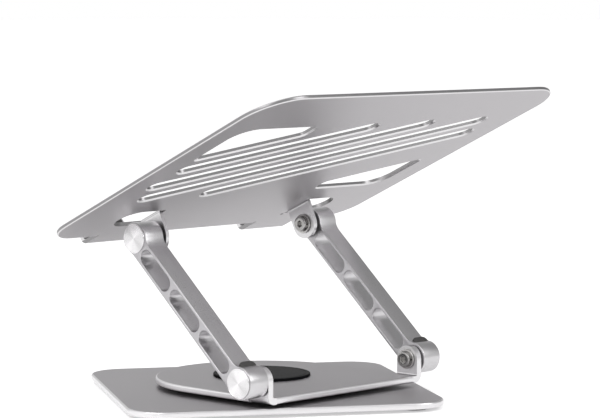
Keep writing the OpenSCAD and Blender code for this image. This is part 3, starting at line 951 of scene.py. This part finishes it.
class STAND_OT_pads(bpy.types.Operator):
    """Builds the ribbed silicone pads, the hook pads and the rubber feet"""

    bl_idname = "stand.pads"
    bl_label = "Pads and feet"

    def pad(self, bm, x0, x1, y0, y1, low, high, s, ribs=True):
        """A pad with rounded corners and edges, ribbed along its longer side."""
        along_x = (x1 - x0) >= (y1 - y0)
        length, width = (x1 - x0, y1 - y0) if along_x else (y1 - y0, x1 - x0)
        corner, edge = 3.0, s.edge
        top = high - (s.rib_height if ribs else 0)
        across = sorted({round(v, 4) for v in [k * width / 64 for k in range(65)]})
        ends = [0, 0.15, 0.5, 1, 2, 3.2]
        columns = []
        for w in across:
            d = min(w, width - w)
            cut = corner - sqrt(max(0.0, corner**2 - (corner - min(d, corner)) ** 2))
            xs = [cut + e for e in ends] + [length - cut - e for e in reversed(ends)]
            row = []
            for x in xs:
                inside = min(x - cut, length - cut - x, d)
                drop = edge - sqrt(max(0.0, edge**2 - (edge - min(inside, edge)) ** 2))
                z = top - drop
                if ribs and d > 1.2:
                    phase = (w - width / 2) / s.rib_pitch
                    bump = max(0.0, cos(2 * pi * phase)) ** 0.6
                    z += s.rib_height * bump * min(1.0, max(0.0, (inside - 1.0) / 1.2))
                row.append((x, w, z))
            columns.append(row)

        def put(p, z=None):
            x, w = p[0], p[1]
            pos = (x0 + x, y0 + w) if along_x else (x0 + w, y0 + x)
            return bm.verts.new((*pos, p[2] if z is None else z))

        upper = [[put(p) for p in row] for row in columns]
        lower = [[put(p, low) for p in row] for row in columns]
        rows, cols = len(upper), len(upper[0])
        for i in range(rows - 1):
            for j in range(cols - 1):
                bm.faces.new((upper[i][j], upper[i][j + 1], upper[i + 1][j + 1], upper[i + 1][j]))
                bm.faces.new((lower[i][j], lower[i + 1][j], lower[i + 1][j + 1], lower[i][j + 1]))
        rim = [(0, j) for j in range(cols)] + [(i, cols - 1) for i in range(1, rows)]
        rim += [(rows - 1, j) for j in range(cols - 2, -1, -1)] + [(i, 0) for i in range(rows - 2, 0, -1)]
        for (i, j), (m, n) in zip(rim, rim[1:] + rim[:1]):
            bm.faces.new((lower[i][j], lower[m][n], upper[m][n], upper[i][j]))

    def execute(self, context):
        s = context.scene.stand_pads
        for node, spans in TRAY_PADS.items():
            bm = bmesh.new()
            for x0, x1, y0, y1 in spans:
                self.pad(bm, x0, x1, y0, y1, TRAY_TOP, TRAY_TOP + TRAY_PAD_HEIGHT, s)
            piece_from(
                bm, node.replace("_pad", "_ribbed_pad"), in_tray(), "tray", "rubber",
                [node], 50.0
            )
        for side, sign in SIDES.items():
            bm = bmesh.new()
            width, depth, height = HOOK_PAD_SIZE
            self.pad(bm, 0, width, 0, depth, 0, height, s)
            turn = Matrix((
                (sign, 0, 0, sign * HOOK_PAD_START), (0, 0, 1, HOOK_FACE), (0, 1, 0, HOOK_LOW),
                (0, 0, 0, 1)
            ))
            piece_from(
                bm, side + "_hook_ribbed_pad", in_tray() @ turn, "tray", "rubber",
                [side + "_hook_pad"], 50.0
            )
        feet = bmesh.new()
        for x, y in foot_centres():
            part = bmesh.new()
            rows = [
                (0, 0.35), (1.6, 0.35), (1.8, 0.05), (2.4, 0.0), (4.6, 0.0), (4.8, 0.25), (5.2, 0.25),
                (5.4, 0.0)
            ]
            rows += [(r, z) for r, z in rounded((8.5, 0.5), -90, 0, 0.5)] + [(9.0, 1.99), (0, 1.99)]
            lathe(part, rows, 64)
            part.transform(Matrix.Translation((x, y, 0)))
            join(feet, part)
        piece_from(
            feet, "base_moulded_feet", Matrix.Identity(4), "base", "rubber",
            ["base_corner_feet"]
        )
        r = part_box("base_centre_pad")[1].x / MM
        bm = bmesh.new()
        rows = [
            (0, 0.0), (8.0, 0.0), (8.3, 0.3), (9.2, 0.3), (9.5, 0.0), (17.0, 0.0), (17.3, 0.3),
            (18.2, 0.3), (18.5, 0.0)
        ]
        rows += [(a, z) for a, z in rounded((r - 0.6, 0.6), -90, 0, 0.6)] + [(r, 1.99), (0, 1.99)]
        lathe(bm, rows, 96)
        piece_from(
            bm, "base_grooved_pad", Matrix.Identity(4), "base", "rubber",
            ["base_centre_pad"]
        )
        return {"FINISHED"}


def foot_centres():
    """The four feet, found from their own vertices in the frame."""
    spots = []
    for v in nodes["base_corner_feet"].data.vertices:
        p = Vector((v.co.x, v.co.y)) / MM
        for spot in spots:
            if (p - spot[0]).length < 25:
                spot[1].append(p)
                break
        else:
            spots.append((p, [p]))
    centres = []
    for _, points in spots:
        xs, ys = [p.x for p in points], [p.y for p in points]
        centres.append(((min(xs) + max(xs)) / 2, (min(ys) + max(ys)) / 2))
    return centres


class STAND_OT_hub_cover(bpy.types.Operator):
    """Builds the glossy cover over the swivel"""

    bl_idname = "stand.hub_cover"
    bl_label = "Hub cover"

    def execute(self, context):
        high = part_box("hub_cover")[1]
        r, top = high.x / MM, high.z / MM
        plate_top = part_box("turntable_plate")[0].z / MM + 4.0
        rows = [
            (20.0, top - 0.9), (20.0, plate_top - 1.4), (21.9, plate_top - 1.4), (21.9, plate_top + 0.01),
            (r - 0.05, plate_top + 0.01), (r, plate_top + 0.08)
        ]
        rows += rounded((r - 0.5, top - 0.5), 0, 90, 0.5, 6)
        rows += [
            (r - 2.4, top), (r - 2.5, top - 0.12), (r - 2.8, top - 0.12), (r - 2.9, top),
            (12.0, top - 0.02), (0, top - 0.05)
        ]
        bm = bmesh.new()
        lathe(bm, [(0, top - 0.9), *rows], 128)
        piece_from(
            bm, "hub_gloss_cover", Matrix.Identity(4), "turntable", "cover", ["hub_cover"],
            30.0
        )
        return {"FINISHED"}


class STAND_OT_stage(bpy.types.Operator):
    """Builds the floor, the soft lights and the camera"""

    bl_idname = "stand.stage"
    bl_label = "Stage"

    def light(self, name, place, target, size, power, tone=(1, 1, 1)):
        lamp = bpy.data.lights.new(name, "AREA")
        lamp.shape = "RECTANGLE"
        lamp.size, lamp.size_y = size
        lamp.energy = power
        lamp.color = tone
        obj = bpy.data.objects.new(name, lamp)
        obj.location = place
        obj.rotation_euler = (Vector(target) - Vector(place)).to_track_quat("-Z", "Y").to_euler()
        context_collection().objects.link(obj)
        return obj

    def execute(self, context):
        s = context.scene.stand_stage
        bm = bmesh.new()
        bmesh.ops.create_grid(bm, x_segments=8, y_segments=8, size=30)
        mesh = bpy.data.meshes.new("floor")
        bm.to_mesh(mesh)
        bm.free()
        floor = bpy.data.objects.new("floor", mesh)
        context_collection().objects.link(floor)
        material, tree, shader = new_material("Pale floor", Roughness=0.7)
        shader.inputs["Specular IOR Level"].default_value = 0.1
        place = add(tree, "ShaderNodeTexCoord").outputs["Object"]
        tone = tuple(s.floor_tone)
        shade = spread(tree, noise(tree, place, 3.0, 2.0), 0.2, 0.8, 0.995, 1.005)
        grey = add(tree, "ShaderNodeCombineColor", {"Red": shade, "Green": shade, "Blue": shade}).outputs[0]
        tree.links.new(mixed(tree, 1.0, tone, grey, "MULTIPLY"), shader.inputs["Base Color"])
        lamp = add(tree, "ShaderNodeLightPath")
        shader.inputs["Emission Color"].default_value = (1, 1, 1, 1)
        seen = maths(tree, "MULTIPLY", lamp.outputs["Is Camera Ray"], FLOOR_GLOW_SEEN)
        mirrored = maths(tree, "MULTIPLY", lamp.outputs["Is Glossy Ray"], FLOOR_GLOW_MIRRORED)
        tree.links.new(maths(tree, "ADD", seen, mirrored), shader.inputs["Emission Strength"])
        floor.data.materials.append(material)
        world = bpy.data.worlds.new("Studio")
        context.scene.world = world
        world.use_nodes = True
        tree = world.node_tree
        back = tree.nodes["Background"]
        ray = add(tree, "ShaderNodeLightPath")
        aim = add(tree, "ShaderNodeTexCoord").outputs["Generated"]
        rise = add(tree, "ShaderNodeSeparateXYZ", {0: aim}).outputs["Z"]
        glow = spread(tree, rise, 0.0, 1.0, s.sky_strength, s.sky_strength * 1.3, False)
        for towards, low, high, change in SKY_PATCHES:
            lean = add(
                tree, "ShaderNodeVectorMath", {0: aim}, {1: towards}, operation="DOT_PRODUCT"
            ).outputs["Value"]
            glow = maths(tree, "ADD", glow, maths(tree, "MULTIPLY", spread(tree, lean, low, high), change))
        tree.links.new(mixed_value(tree, ray.outputs["Is Camera Ray"], glow, 1.0), back.inputs["Strength"])
        back.inputs["Color"].default_value = (1, 1, 1, 1)
        self.light("key", (1.3, 0.2, 1.2), (0, 0, 0.08), (1.1, 1.1), s.key_power)
        self.light("rim", (-0.5, 1.3, 1.0), (0, 0, 0.08), (0.7, 1.1), s.rim_power)
        camera = bpy.data.cameras.new("camera")
        camera.lens = s.lens
        camera.sensor_width = 36
        camera.sensor_fit = "HORIZONTAL"
        camera.clip_end = 100
        eye = bpy.data.objects.new("camera", camera)
        eye.location = CAMERA_PLACE
        eye.rotation_euler = Vector(CAMERA_AIM).to_track_quat("-Z", "Y").to_euler()
        context_collection().objects.link(eye)
        context.scene.camera = eye
        context.scene.view_settings.view_transform = "Standard"
        return {"FINISHED"}


def context_collection():
    return bpy.context.scene.collection


def mixed_value(tree, factor, a, b):
    """Mixes two numbers; returns the output."""
    node = tree.nodes.new("ShaderNodeMix")
    node.data_type = "FLOAT"
    for key, item in ((0, factor), (2, a), (3, b)):
        if isinstance(item, (int, float)):
            node.inputs[key].default_value = item
        else:
            tree.links.new(item, node.inputs[key])
    return node.outputs[0]


class STAND_PT_panel(bpy.types.Panel):
    """Steps that build the stand"""

    bl_label = "Laptop stand"
    bl_idname = "STAND_PT_panel"
    bl_space_type = "VIEW_3D"
    bl_region_type = "UI"
    bl_category = "Stand"

    def draw(self, context):
        for operator in OPERATORS:
            self.layout.operator(operator.bl_idname)
        for name, group in SETTINGS.items():
            box = self.layout.box()
            box.label(text=group.__doc__)
            for field in group.__annotations__:
                box.prop(getattr(context.scene, name), field)


OPERATORS = (
    STAND_OT_finishes,
    STAND_OT_arms,
    STAND_OT_hinge_hardware,
    STAND_OT_pads,
    STAND_OT_hub_cover,
    STAND_OT_stage,
)


def register():
    for cls in (*SETTINGS.values(), *OPERATORS, STAND_PT_panel):
        bpy.utils.register_class(cls)
    for name, group in SETTINGS.items():
        setattr(bpy.types.Scene, name, bpy.props.PointerProperty(type=group))


def unregister():
    for name in SETTINGS:
        delattr(bpy.types.Scene, name)
    for cls in reversed((*SETTINGS.values(), *OPERATORS, STAND_PT_panel)):
        bpy.utils.unregister_class(cls)


def main():
    register()
    bpy.ops.stand.finishes()
    bpy.ops.stand.arms()
    bpy.ops.stand.hinge_hardware()
    bpy.ops.stand.pads()
    bpy.ops.stand.hub_cover()
    bpy.ops.stand.stage()


if __name__ == "__main__":
    main()
